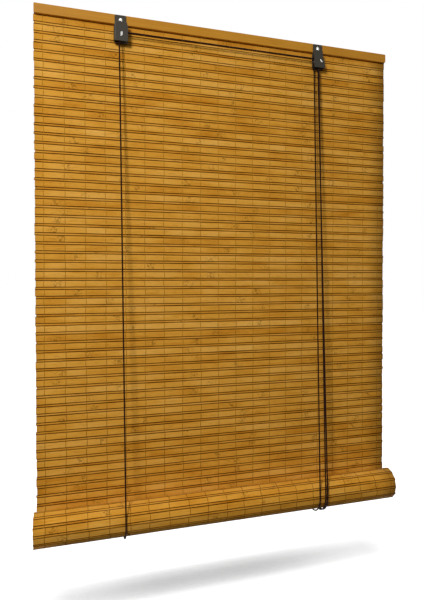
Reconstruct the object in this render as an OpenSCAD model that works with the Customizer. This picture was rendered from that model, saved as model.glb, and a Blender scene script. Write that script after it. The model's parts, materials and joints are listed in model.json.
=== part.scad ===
// Bamboo roll up blind: a woven mat of split bamboo hangs from a head rail and is wound
// part of the way up on a round bottom bar. Cords run from the rail down behind the mat,
// under the roll and up its front to two steel brackets, and a sliding roller in the right
// bracket pinches them. The origin lies between the two wall screws, on the rail's back.
// +Z is up, +X runs to the right as seen from the front, and the front faces -Y.

/* [Blind] */
// Width of the mat, the head rail and the roll
blind_w = 600; // [450:10:750]
// Number of slat rows that hang between the rail and the roll
hung_rows = 56; // [40:1:64]

/* [Head rail] */
// Height of both battens
rail_h = 15; // [14:0.5:20]
// Height of the wall screws above the rail's underside
screw_up = 6.5; // [5.5:0.5:8]
// Thickness of the front batten
front_batten_t = 6; // [5:0.5:12]
// Thickness of the back batten
back_batten_t = 5; // [4.5:0.5:8]
// Rounding of the battens' long edges
batten_edge_r = 1; // [0.5:0.1:1.5]
// Rounding of the battens' ends, seen from the front
batten_end_r = 2; // [1:0.5:4]
// Height of the first slat's lower edge above the rail's underside
header_up = 4; // [2:0.5:4.5]
// Number of nails between the brackets, apart from one near each end
nail_count = 3; // [1:1:5]
// Radius of a nail's shank
nail_r = 0.7; // [0.5:0.1:1]
// Length of a nail
nail_length = 10.5; // [8:0.5:11]
// Distance of the outer nails from the rail's ends
nail_inset = 20; // [12:1:40]

/* [Mat] */
// Height of a wide slat
slat_h = 9.9; // [8:0.1:11]
// Thickness of the slats and the sticks
slat_t = 1.5; // [1.2:0.1:1.8]
// Height of a narrow stick
stick_h = 3.05; // [2:0.05:4]
// Gap between a slat and the stick beside it
weave_gap = 0.4; // [0.2:0.05:0.8]
// Chamfer along the edges of slats and sticks
slat_chamfer = 0.35; // [0.2:0.05:0.5]
// Distance from one line of binding thread to the next, at most
thread_pitch = 31; // [24:1:40]
// Distance of the outer threads from the mat's edges
thread_inset = 12; // [8:1:20]
// Width of a binding thread
thread_w = 0.8; // [0.5:0.1:1.2]
// Thickness of a binding thread
thread_t = 0.25; // [0.2:0.05:0.4]

/* [Roll] */
// Radius of the roll at its outermost slat
roll_r = 27.5; // [22:0.5:34]
// Radius of the bottom bar that the mat is wound on
bar_r = 8; // [6:0.5:10]

/* [Brackets] */
// Distance from the rail's left end to the middle of the left bracket
left_inset = 126; // [90:1:180]
// Distance from the rail's right end to the middle of the right bracket
right_inset = 137; // [90:1:180]
// Thickness of the bracket's steel
plate_t = 1.2; // [0.8:0.1:1.5]
// Width of the bracket's upper plate
neck_w = 17.5; // [15:0.5:20]
// Gap between the rail's top edge and the bracket's upper plate
neck_gap = 1; // [0.5:0.5:3]
// Width of the bracket's cage below the rail
cage_w = 21; // [19:0.5:25]
// Height of the cage below the rail
cage_h = 29; // [25:0.5:34]
// Height of the sloping shoulders
shoulder_h = 6.5; // [4:0.5:8]
// Drop from the rail's underside to the rollers' axles
axle_drop = 17.5; // [14:0.5:19]
// Offset of the left roller from the bracket's middle
left_roller_off = 1.1; // [0:0.1:2]
// Offset of the lock roller from the bracket's middle
lock_off = 2.4; // [1.5:0.1:3]
// Length of the slot for the left axle's flat end
eye_l = 7.6; // [6.5:0.1:9]
// Width of the slot for the left axle's flat end
eye_w = 3.6; // [3:0.1:4.5]
// Tilt of the lock's slot from upright
slot_tilt = 40; // [25:1:45]
// Travel of the lock along its slot
lock_travel = 3; // [2:0.5:4]
// Height of the sloping edge beside the lock
flank_h = 13; // [8:0.5:16]
// Width of the sloping edge beside the lock
flank_w = 5; // [3:0.5:6]
// Height of the lock's side wall below the sloping edge
flank_foot = 6; // [4:0.5:10]

/* [Rollers and screws] */
// Radius of the axles
axle_r = 1; // [0.8:0.05:1.2]
// Radius of the lock roller
lock_r = 2; // [1.8:0.1:2.3]
// Thickness of a guide roller's outer flanges
flange_t = 0.6; // [0.4:0.1:1]
// Length of the axles' flat ends
tongue_l = 5.5; // [4.5:0.1:6]
// Width of the axles' flat ends
tongue_w = 2.2; // [1.8:0.1:2.4]
// Radius of a wall screw's thread
screw_r = 1.75; // [1.65:0.05:2]
// Radius of a wall screw's plain shank
shank_r = 1.5; // [1.2:0.05:1.6]
// Length of a wall screw below its head
screw_length = 35; // [32:1:50]
// Radius of a wall screw's head
screw_head_r = 3.2; // [2.8:0.1:3.6]
// Height of a wall screw's head
screw_head_h = 2.2; // [1.8:0.1:2.6]

/* [Cords] */
// Diameter of the cords
cord_d = 2.4; // [1.8:0.1:2.6]
// Radius of the cord's middle where it turns on a roller
bend_r = 3.6; // [3.4:0.1:4.2]
// Offset of the cord holes in the back batten from the bracket's middle
anchor_off = 8; // [7:0.5:12]
// Radius of the knots on top of the rail
knot_r = 2.4; // [2:0.1:2.5]
// Sideways lean of the left lift cord on its way down to the roll
left_lean = 3; // [-10:0.5:10]
// Sideways lean of the right lift cord
right_lean = -8; // [-12:0.5:-4]
// Sideways lean of the pull cords
pull_lean = -3; // [-3:0.5:6]

/* [Hidden] */
$fn = 48;

// Clearances
fit_gap = 0.05;      // an axle in its roller or its hole, and a nail in the wood
screw_gap = 0.1;     // a wall screw's thread in its hole
slide_gap = 0.15;    // a flat axle end in its slot
side_gap = 0.4;      // a roller beside the bracket's walls
cord_gap = 0.3;      // a cord in a roller's groove
bore_gap = 0.3;      // a cord in its hole through the batten
sling_gap = 0.3;     // a cord beside the mat and the roll
pinch_gap = 0.1;     // the lock roller beside the cords
butt_gap = 0.06;     // one length of cord above the next
pull_gap = 1.2;      // one pull cord beside the other, under the roll
knot_gap = 1;        // one knot beside the next
turn_gap = 0.12;     // one turn of the mat on the next
eps = 0.5;           // how far a cutter runs past what it cuts

// Heights
rail_bot = -screw_up;
rail_top = rail_bot + rail_h;
neck_top = rail_top - neck_gap;
header_bot = rail_bot + header_up;
row_h = slat_h + stick_h + 2 * weave_gap;
roll_z = header_bot - hung_rows * row_h - weave_gap;
axle_z = rail_bot - axle_drop;
cage_bot = rail_bot - cage_h;
thread_grip = 2;
thread_top = header_bot + thread_grip;
thread_bot = roll_z + weave_gap;

// Depths, from the wall at 0 towards the front
mat_t = slat_t + 2 * thread_t;
mat_back = -back_batten_t;
mat_front = mat_back - mat_t;
slat_back = mat_back - thread_t;
rail_front = mat_front - front_batten_t;
cord_r = cord_d / 2;
groove_r = cord_r + cord_gap;
groove_web = 0.5;
groove_step = 2 * groove_r + groove_web;
roller_w = groove_step + 2 * groove_r + 2 * flange_t;
plate_front = rail_front - plate_t;
cage_front = plate_front - roller_w - 2 * side_gap;
cheek_front = cage_front - plate_t;
roller_y = (plate_front + cage_front) / 2;
front_groove_y = roller_y - groove_step / 2;
back_groove_y = roller_y + groove_step / 2;
roll_y = slat_back - roll_r;

// Places along the rail
screw_span = blind_w - left_inset - right_inset;
left_x = -screw_span / 2;
right_x = screw_span / 2;
screw_xs = [left_x, right_x];
rail_x0 = left_x - left_inset;
rail_x1 = right_x + right_inset;
left_roller_x = left_x + left_roller_off;
lock_x = right_x + lock_off;
right_roller_x = lock_x - lock_r - pinch_gap - cord_r - bend_r;
left_cord_x = left_roller_x - bend_r;
right_cord_x = right_roller_x - bend_r;
pull_x = right_roller_x + bend_r;
pull_step = cord_d + pull_gap;
pull_sides = [-1, 1];
knot_step = 2 * knot_r + knot_gap;
left_low_x = left_cord_x + left_lean;
right_low_x = right_cord_x + right_lean;
left_anchor_x = left_x + anchor_off;
pull_anchor_xs = [right_x - anchor_off - knot_step, right_x - anchor_off];
right_anchor_x = pull_anchor_xs[0] - knot_step;
anchor_xs = concat([left_anchor_x, right_anchor_x], pull_anchor_xs);
anchor_y = -back_batten_t / 2;
thread_count = ceil((blind_w - 2 * thread_inset) / thread_pitch) + 1;
thread_step = (blind_w - 2 * thread_inset) / (thread_count - 1);
thread_xs = [for (i = [0 : thread_count - 1]) rail_x0 + thread_inset + i * thread_step];
nail_step = screw_span / nail_count;
nail_inner_xs = [for (i = [0 : nail_count - 1]) left_x + (i + 0.5) * nail_step];
nail_xs = concat([rail_x0 + nail_inset], nail_inner_xs, [rail_x1 - nail_inset]);
nail_head_r = 2 * nail_r;
nail_head_h = 0.6;

// The lock's slot: direction of the opening travel, and the middle of the travel
lock_dir = [sin(slot_tilt), -cos(slot_tilt)];
lock_mid = [lock_x, axle_z] + lock_dir * lock_travel / 2;
head_r = 1.9 * axle_r;
head_t = 0.8;
tongue_proud = 0.3;

// The spiral: a flat slat's middle lies this far inside the circle through its corners
function slat_sag(r) = slat_h * slat_h / (8 * r);
core_r = bar_r + turn_gap + slat_t + slat_sag(bar_r + slat_t);
turn_pitch = slat_t + slat_sag(core_r) + turn_gap;
web_t = 0.4;
function turn_r(a) = roll_r - turn_pitch * a / 360;
function span(w, a) = 2 * asin(w / (2 * turn_r(a)));
function stick_end(a) = a + span(stick_h, a);
function slat_start(a) = stick_end(a) + span(weave_gap, a);
function slat_end(a) = slat_start(a) + span(slat_h, slat_start(a));
function row_end(a) = slat_end(a) + span(weave_gap, a);
row_starts = [for (a = 0; turn_r(row_end(a)) > core_r; a = row_end(a)) a];
last_row = row_starts[len(row_starts) - 1];

// A point of the wound mat: the angle runs from the back downwards, the depth inwards
function wound(a, depth) = (turn_r(a) - depth) * [cos(a), -sin(a)];
// One side of a wound row: the stick, the web of thread, the slat and the next web
function row_side(a, face, web) = [
    wound(a, face), wound(stick_end(a), face),
    wound(stick_end(a), web), wound(slat_start(a), web),
    wound(slat_start(a), face), wound(slat_end(a), face), wound(slat_end(a), web),
    if (a < last_row) wound(row_end(a), web)
];
// The threads' ends, drawn in from the last slat to the bar
tail_turn = 30;
tail_a = slat_end(last_row) + tail_turn;
function on_bar(lift) = (bar_r + fit_gap + lift) * [cos(tail_a), -sin(tail_a)];
function reversed(list) = [for (i = [len(list) - 1 : -1 : 0]) list[i]];

// The sling: the circle that a cord follows under the roll, and the straight line from a
// point p = [y, z] that touches it, on the front (side -1) or the back (side +1)
sling_r = roll_r + thread_t + sling_gap + cord_r;
roll_c = [roll_y, roll_z];
function bearing(p) = atan2(roll_c.y - p.y, roll_c.x - p.x);
function run_angle(p, side) = bearing(p) + side * asin(sling_r / norm(roll_c - p));
function touch_angle(p, side) = run_angle(p, side) + side * 90;
function touch(p, side) = roll_c + sling_r * [cos(touch_angle(p, side)), sin(touch_angle(p, side))];
front_start = [front_groove_y, axle_z];
back_start = [back_groove_y, axle_z];
anchor = [anchor_y, rail_top];

rod_colour = "#b98536";
slat_colour = "#c89a4a";
stick_colour = "#b4822f";
thread_colour = "#6b4a1e";
cord_colour = "#2c1510";
steel_colour = "#3a3a3c";
nickel_colour = "#c9cacc";
roller_colour = "#8a8a8c";

// Carries a drawing in Y and Z along +X, from the blind's left edge to its right edge
module along_blind() {
    translate([rail_x0, 0, 0]) rotate([90, 0, 90]) linear_extrude(blind_w) children();
}

// Carries a drawing in X and Z along +Y, from y0 to y1
module along_y(y0, y1) {
    translate([0, y1, 0]) rotate([90, 0, 0]) linear_extrude(y1 - y0) children();
}

// A rectangle from corner to corner, with round corners
module rounded(low, high, r) {
    size = high - low;
    translate(low + [r, 0]) square([size.x - 2 * r, size.y]);
    translate(low + [0, r]) square([size.x, size.y - 2 * r]);
    for (x = [low.x + r, high.x - r], y = [low.y + r, high.y - r]) translate([x, y]) circle(r);
}

// A bar with two round ends, upright
module oblong(length, width) {
    straight = length - width;
    square([width, straight], center = true);
    for (side = [-1, 1]) translate([0, side * straight / 2]) circle(d = width);
}

// The section of a slat or stick between two heights
module chamfered(z0, z1) {
    c = slat_chamfer;
    y0 = slat_back - slat_t;
    y1 = slat_back;
    polygon([[y0 + c, z0], [y1 - c, z0], [y1, z0 + c], [y1, z1 - c],
             [y1 - c, z1], [y0 + c, z1], [y0, z1 - c], [y0, z0 + c]]);
}

module screw_holes(y0, y1) {
    along_y(y0, y1)
        for (x = screw_xs) translate([x, 0]) circle(screw_r + screw_gap);
}

module nail_holes(y0, y1, r) {
    along_y(y0, y1) for (x = nail_xs) translate([x, 0]) circle(r);
}

// A batten from front y0 to back y1, with round long edges and round ends
module batten(y0, y1) {
    intersection() {
        along_blind() rounded([y0, rail_bot], [y1, rail_top], batten_edge_r);
        along_y(y0, y1) rounded([rail_x0, rail_bot], [rail_x1, rail_top], batten_end_r);
    }
}

module front_batten() {
    color(rod_colour) difference() {
        batten(rail_front, mat_front);
        screw_holes(rail_front - eps, mat_front + eps);
        nail_holes(-nail_length - fit_gap, mat_front + eps, nail_r + fit_gap);
    }
}

module back_batten() {
    color(rod_colour) difference() {
        batten(mat_back, 0);
        screw_holes(mat_back - eps, eps);
        nail_holes(mat_back - eps, eps, nail_r + fit_gap);
        nail_holes(-nail_head_h, eps, nail_head_r + fit_gap);
        for (x = anchor_xs) translate([x, anchor_y, rail_bot - eps])
            cylinder(r = cord_r + bore_gap, h = rail_h + 2 * eps);
    }
}

// The mat's first slat, clamped between the battens
module header_slat() {
    color(slat_colour) difference() {
        along_blind() chamfered(header_bot, header_bot + slat_h);
        screw_holes(mat_front - eps, mat_back + eps);
        nail_holes(mat_front - eps, mat_back + eps, nail_r + fit_gap);
    }
}

module rail_nails() {
    color(nickel_colour) {
        along_y(-nail_length, 0) for (x = nail_xs) translate([x, 0]) circle(nail_r);
        along_y(-nail_head_h, 0) for (x = nail_xs) translate([x, 0]) circle(nail_head_r);
    }
}

// A wall screw along +Z, with the underside of its domed head at 0 and a plain shank as far
// as the wall
module wall_screw() {
    grip = -plate_front;
    dome_r = (screw_head_r * screw_head_r + screw_head_h * screw_head_h) / (2 * screw_head_h);
    tip = 3 * screw_r;
    recess = [1.1 * screw_head_r, 0.28 * screw_head_r, screw_head_h];
    difference() {
        intersection() {
            translate([0, 0, dome_r - screw_head_h]) sphere(dome_r);
            translate([0, 0, -screw_head_h]) cylinder(r = screw_head_r, h = screw_head_h);
        }
        for (turn = [45, 135]) rotate(turn)
            translate([0, 0, -screw_head_h]) cube(recess, center = true);
    }
    cylinder(r = shank_r, h = grip);
    translate([0, 0, grip]) cylinder(r = screw_r, h = screw_length - tip - grip);
    translate([0, 0, screw_length - tip]) cylinder(r1 = screw_r, r2 = 0.2, h = tip);
}

module wall_screws() {
    color(nickel_colour) for (x = screw_xs)
        translate([x, plate_front, 0]) rotate([-90, 0, 0]) wall_screw();
}

// The bracket's outline seen from the front: neck, shoulders and cage
module bracket_outline() {
    corner = 2;
    shoulder_z = rail_bot - shoulder_h;
    rounded([-neck_w / 2, rail_bot - corner], [neck_w / 2, neck_top], corner);
    polygon([[-neck_w / 2, rail_bot], [neck_w / 2, rail_bot],
             [cage_w / 2, shoulder_z], [-cage_w / 2, shoulder_z]]);
    translate([-cage_w / 2, cage_bot + corner]) square([cage_w, shoulder_z - cage_bot - corner]);
    rounded([-cage_w / 2, cage_bot], [cage_w / 2, shoulder_z], corner);
}

// The cage seen from above: back plate, side wall with round bends, and front cheek
module cage_section(side) {
    bend = 0.8;
    wall_x = side * cage_w / 2;
    inner_x = wall_x - side * plate_t;
    far_x = -side * cage_w;
    past_x = far_x - side * cage_w;
    difference() {
        rounded([min(wall_x, far_x), cheek_front], [max(wall_x, far_x), rail_front], bend + plate_t);
        rounded([min(inner_x, past_x), cage_front], [max(inner_x, past_x), plate_front], bend);
    }
}

// A folded steel bracket at the origin's X, closed on one side
module folded_bracket(side) {
    along_y(plate_front, rail_front) bracket_outline();
    intersection() {
        translate([0, 0, cage_bot]) linear_extrude(cage_h) cage_section(side);
        along_y(cheek_front, rail_front) bracket_outline();
    }
}

module left_bracket() {
    color(steel_colour) difference() {
        translate([left_x, 0, 0]) folded_bracket(-1);
        screw_holes(plate_front - eps, rail_front + eps);
        along_y(plate_front - eps, rail_front + eps)
            translate([left_roller_x, axle_z]) circle(axle_r + fit_gap);
        along_y(cheek_front - eps, cage_front + eps)
            translate([left_roller_x + tongue_w / 2 + slide_gap - eye_w / 2, axle_z]) oblong(eye_l, eye_w);
    }
}

// Cuts the lock's cage above a sloping edge, from the side wall's top towards the rail
module lock_flank() {
    edge_x = cage_w / 2;
    foot_z = cage_bot + flank_foot;
    along_y(cheek_front - eps, plate_front) polygon([
        [edge_x + eps, foot_z], [edge_x, foot_z], [edge_x - flank_w, foot_z + flank_h],
        [edge_x - flank_w, rail_bot + eps], [edge_x + eps, rail_bot + eps]]);
}

module right_bracket() {
    color(steel_colour) difference() {
        translate([right_x, 0, 0]) folded_bracket(1);
        translate([right_x, 0, 0]) lock_flank();
        screw_holes(plate_front - eps, rail_front + eps);
        along_y(cheek_front - eps, rail_front + eps)
            translate([right_roller_x, axle_z]) circle(axle_r + fit_gap);
        along_y(plate_front - eps, rail_front + eps) translate(lock_mid) rotate(slot_tilt)
            oblong(2 * (axle_r + slide_gap) + lock_travel, 2 * (axle_r + slide_gap));
        along_y(cheek_front - eps, cage_front + eps) translate(lock_mid) rotate(slot_tilt)
            oblong(tongue_l + lock_travel + 2 * slide_gap, tongue_w + 2 * slide_gap);
    }
}

// An axle with a head behind the bracket and a flat end in the front cheek's slot
module flat_axle(tilt) {
    head_y = rail_front + fit_gap;
    tongue_y = cage_front + side_gap / 2;
    along_y(tongue_y, head_y) circle(axle_r);
    along_y(head_y, head_y + head_t) circle(head_r);
    along_y(cheek_front - tongue_proud, tongue_y) rotate(tilt) oblong(tongue_l, tongue_w);
}

module left_axle() {
    color(nickel_colour) translate([left_roller_x, 0, axle_z]) flat_axle(0);
}

module lock_axle() {
    color(nickel_colour) translate([lock_x, 0, axle_z]) flat_axle(slot_tilt);
}

// The right guide roller's axle, riveted over behind the bracket and flush in front
module right_axle() {
    color(steel_colour) translate([right_roller_x, 0, axle_z]) {
        along_y(cheek_front, rail_front) circle(axle_r);
        along_y(rail_front, rail_front + head_t) circle(head_r);
    }
}

// A guide roller with a groove for each of two cords, turning about Y
module guide_roller() {
    rim_r = bend_r + cord_r - sling_gap;
    translate([0, roller_y, 0]) rotate([90, 0, 0]) rotate_extrude() difference() {
        translate([axle_r + fit_gap, -roller_w / 2]) square([rim_r - axle_r - fit_gap, roller_w]);
        for (side = [-1, 1]) translate([bend_r, side * groove_step / 2]) {
            circle(groove_r);
            translate([0, -groove_r]) square(2 * groove_r);
        }
    }
}

module left_guide_roller() {
    color(roller_colour) translate([left_roller_x, 0, axle_z]) guide_roller();
}

module right_guide_roller() {
    color(roller_colour) translate([right_roller_x, 0, axle_z]) guide_roller();
}

// The lock's fluted roller
module lock_roller() {
    flutes = 10;
    flute_r = 0.12 * lock_r;
    low = roller_y - roller_w / 2;
    color(roller_colour) translate([lock_x, 0, axle_z]) along_y(low, low + roller_w) difference() {
        circle(lock_r);
        circle(axle_r + fit_gap);
        for (i = [0 : flutes - 1]) rotate(i * 360 / flutes) translate([lock_r, 0]) circle(flute_r);
    }
}

module wide_slats() {
    color(slat_colour) for (i = [1 : hung_rows]) {
        low = header_bot - i * row_h;
        along_blind() chamfered(low, low + slat_h);
    }
}

module narrow_sticks() {
    color(stick_colour) for (i = [1 : hung_rows]) {
        low = header_bot - i * row_h + slat_h + weave_gap;
        along_blind() chamfered(low, low + stick_h);
    }
}

// A face's binding threads, one strip over all slats at each line
module threads(y) {
    color(thread_colour) for (x = thread_xs)
        translate([x - thread_w / 2, y, thread_bot]) cube([thread_w, thread_t, thread_top - thread_bot]);
}

module front_threads() { threads(mat_front); }

module back_threads() { threads(slat_back); }

// The wound part of the mat: one spiral of slats and sticks joined by webs of thread
module mat_roll() {
    outer = [for (a = row_starts) each row_side(a, 0, (slat_t - web_t) / 2)];
    inner = [for (a = row_starts) each row_side(a, slat_t, (slat_t + web_t) / 2)];
    color(slat_colour) translate([0, roll_y, roll_z]) along_blind()
        polygon(concat(outer, [on_bar(web_t), on_bar(0)], reversed(inner)));
}

module bottom_bar() {
    color(rod_colour) translate([0, roll_y, roll_z]) along_blind() circle(bar_r);
}

// A straight length of cord from a to b
module cord_run(a, b) {
    d = b - a;
    length = norm(d);
    color(cord_colour) translate(a) rotate([0, acos(d.z / length), atan2(d.y, d.x)])
        cylinder(r = cord_r, h = length);
}

// A cord's turn about an axle along Y, from one angle to another
module cord_turn(x, y, from, to) {
    color(cord_colour) translate([x, y, axle_z]) rotate([90, 0, 0]) rotate([0, 0, from])
        rotate_extrude(angle = to - from) translate([bend_r, 0]) circle(cord_r);
}

// From a roller or the rail down to where the cord meets the roll
module hanging_cord(p, x_top, x_low, side) {
    low = touch(p, side);
    top = [x_top, p.x, p.y];
    end = [x_low, low.x, low.y];
    down = (end - top) / norm(end - top);
    cord_run(top + butt_gap * down, end - butt_gap * down);
}

// The half circle of cord under the roll
module sling(x, front) {
    from = touch_angle(front, -1);
    to = touch_angle(anchor, 1);
    color(cord_colour) translate([x, roll_y, roll_z]) rotate([90, 0, 90]) rotate([0, 0, from])
        rotate_extrude(angle = to - from) translate([sling_r, 0]) circle(cord_r);
}

function pull_low_x(side) = pull_x + pull_lean + side * pull_step / 2;

module left_back_cord() { hanging_cord(anchor, left_anchor_x, left_low_x, 1); }

module left_sling() { sling(left_low_x, front_start); }

module left_front_cord() { hanging_cord(front_start, left_cord_x, left_low_x, -1); }

// Over the left roller, across to the right bracket and over the right roller
module cross_cord() {
    high = axle_z + bend_r;
    cord_turn(left_roller_x, front_groove_y, 90, 180);
    cord_run([left_roller_x, front_groove_y, high], [right_roller_x, front_groove_y, high]);
    cord_turn(right_roller_x, front_groove_y, 0, 90);
}

module right_back_cord() { hanging_cord(anchor, right_anchor_x, right_low_x, 1); }

module right_sling() { sling(right_low_x, back_start); }

module right_front_cord() { hanging_cord(back_start, right_cord_x, right_low_x, -1); }

module right_turn_cord() { cord_turn(right_roller_x, back_groove_y, 0, 180); }

module pull_back_cords() {
    for (i = [0, 1]) hanging_cord(anchor, pull_anchor_xs[i], pull_low_x(pull_sides[i]), 1);
}

module pull_slings() {
    sling(pull_low_x(-1), front_start);
    sling(pull_low_x(1), back_start);
}

module pull_front_cords() {
    hanging_cord(front_start, pull_x, pull_low_x(-1), -1);
    hanging_cord(back_start, pull_x, pull_low_x(1), -1);
}

// The cords' ends, knotted on top of the back batten
module cord_knots() {
    color(cord_colour) for (x = anchor_xs)
        translate([x, anchor_y, rail_top + knot_r + fit_gap]) sphere(knot_r);
}

front_batten();
back_batten();
header_slat();
rail_nails();
wall_screws();
left_bracket();
right_bracket();
left_axle();
left_guide_roller();
right_axle();
right_guide_roller();
lock_axle();
lock_roller();
wide_slats();
narrow_sticks();
front_threads();
back_threads();
mat_roll();
bottom_bar();
left_back_cord();
left_sling();
left_front_cord();
cross_cord();
right_back_cord();
right_sling();
right_front_cord();
right_turn_cord();
pull_back_cords();
pull_slings();
pull_front_cords();
cord_knots();
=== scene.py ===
"""Dresses the bamboo roll up blind: woven slats, the wound roll, braided cords, rail and brackets.

Lengths are in metres, in the frame's own axes: +X to the right, +Z up, and the front faces -Y.
"""

from __future__ import annotations

import json
import logging
import math
from dataclasses import dataclass
from enum import Enum

import bpy
import numpy as np
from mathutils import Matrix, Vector

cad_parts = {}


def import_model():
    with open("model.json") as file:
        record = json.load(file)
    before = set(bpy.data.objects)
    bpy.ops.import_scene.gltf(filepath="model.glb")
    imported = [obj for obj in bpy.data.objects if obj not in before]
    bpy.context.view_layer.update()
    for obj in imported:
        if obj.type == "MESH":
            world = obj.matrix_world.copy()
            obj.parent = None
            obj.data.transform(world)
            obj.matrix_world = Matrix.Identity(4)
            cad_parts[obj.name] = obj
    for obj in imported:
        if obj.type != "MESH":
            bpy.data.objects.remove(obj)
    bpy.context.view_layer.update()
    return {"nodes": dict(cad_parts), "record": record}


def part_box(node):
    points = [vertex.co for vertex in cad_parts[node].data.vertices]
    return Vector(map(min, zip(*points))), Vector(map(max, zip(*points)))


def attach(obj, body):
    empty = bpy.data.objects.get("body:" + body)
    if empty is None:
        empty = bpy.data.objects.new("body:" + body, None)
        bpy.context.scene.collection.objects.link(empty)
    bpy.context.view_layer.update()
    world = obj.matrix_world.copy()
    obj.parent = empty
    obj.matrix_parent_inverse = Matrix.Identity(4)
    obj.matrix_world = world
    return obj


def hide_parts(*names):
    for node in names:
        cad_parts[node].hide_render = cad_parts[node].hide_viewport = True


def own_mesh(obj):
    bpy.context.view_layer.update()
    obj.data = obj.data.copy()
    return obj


LOG = logging.getLogger("bamboo_blind")
MM = 0.001
FULL_TURN = 2 * math.pi

SIDEWAYS = (1.0, 0.0, 0.0)
INWARD = (0.0, 1.0, 0.0)
UPWARD = (0.0, 0.0, 1.0)
WHITE = (1.0, 1.0, 1.0, 1.0)
NUMBER = "NodeSocketFloat"
VECTOR = "NodeSocketVector"

Colour = tuple[float, float, float, float]
Point = tuple[float, float, float]
Fields = dict[str, np.ndarray]
Material = bpy.types.Material
Piece = bpy.types.Object
Socket = bpy.types.NodeSocket
Tree = bpy.types.NodeTree


class Side(Enum):
    """A side of the blind, as the sign of its Y."""

    FRONT = -1
    BACK = 1


def srgb(red: int, green: int, blue: int) -> Colour:
    """Turns an 8-bit screen colour into linear light.

    Args:
        red: red, 0 to 255.
        green: green, 0 to 255.
        blue: blue, 0 to 255.

    Returns:
        The linear colour with full alpha.
    """
    share = np.array([red, green, blue]) / 255
    linear = np.where(share <= 0.04045, share / 12.92, ((share + 0.055) / 1.055) ** 2.4)
    return (float(linear[0]), float(linear[1]), float(linear[2]), 1.0)


def wander(rng: np.random.Generator, places: np.ndarray, wave: float, count: int = 4) -> np.ndarray:
    """Draws one smooth random curve for each bar, as a sum of sines that get shorter and weaker.

    Args:
        rng: the seeded source of random numbers.
        places: positions along the blind, (bars, rings).
        wave: the longest wavelength.
        count: number of sines.

    Returns:
        Values of about -1 to 1, shaped like places.
    """
    order = np.arange(1, count + 1)
    phase = rng.uniform(0, FULL_TURN, (places.shape[0], 1, count))
    stretch = rng.uniform(0.7, 1.3, (places.shape[0], 1, count))
    turns = FULL_TURN * places[:, :, None] * order * stretch / wave + phase
    return (np.sin(turns) / order).sum(axis=2) / np.sqrt((1 / order**2).sum())


def skin(name: str, points: np.ndarray, fields: Fields, closed: bool = False) -> Piece:
    """Skins bars or cords: neighbouring rings are joined by quads, and open ends get flat caps.

    Args:
        name: the new object's name.
        points: corner positions, (bars, rings, sides, 3), each ring anticlockwise about its bar.
        fields: point attributes that broadcast to (bars, rings, sides).
        closed: whether the last ring joins the first.

    Returns:
        The new object, linked to the scene.
    """
    bars, rings, sides = points.shape[:3]
    index = np.arange(bars * rings * sides).reshape(bars, rings, sides)
    if closed:
        index_rows = np.concatenate([index, index[:, :1]], axis=1)
    else:
        index_rows = index
    turned = np.roll(index_rows, -1, axis=2)
    quads = np.stack([index_rows[:, :-1], turned[:, :-1], turned[:, 1:], index_rows[:, 1:]], axis=-1)
    quads = quads.reshape(-1, 4)
    caps = np.zeros((0, sides), int) if closed else np.concatenate([index[:, 0, ::-1], index[:, -1]])
    corners = np.concatenate([quads.ravel(), caps.ravel()])
    starts = np.concatenate([np.arange(len(quads)) * 4, quads.size + np.arange(len(caps)) * sides])

    mesh = bpy.data.meshes.new(name)
    mesh.vertices.add(index.size)
    mesh.vertices.foreach_set("co", points.astype(np.float32).ravel())
    mesh.loops.add(len(corners))
    mesh.polygons.add(len(starts))
    mesh.polygons.foreach_set("loop_start", starts.astype(np.int32))
    mesh.loops.foreach_set("vertex_index", corners.astype(np.int32))
    mesh.polygons.foreach_set("use_smooth", np.arange(len(starts)) < len(quads))
    for field_name, values in fields.items():
        attribute = mesh.attributes.new(field_name, "FLOAT", "POINT")
        spread = np.broadcast_to(values, points.shape[:3])
        attribute.data.foreach_set("value", spread.astype(np.float32).ravel())
    mesh.update(calc_edges=True)
    mesh.validate()
    piece = bpy.data.objects.new(name, mesh)
    bpy.context.scene.collection.objects.link(piece)
    LOG.info("%s: %d faces", name, len(starts))
    return piece


def dress(piece: Piece, material: Material) -> None:
    """Gives a piece or a frame node one material in place of those that it has."""
    piece.data.materials.clear()
    piece.data.materials.append(material)


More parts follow.
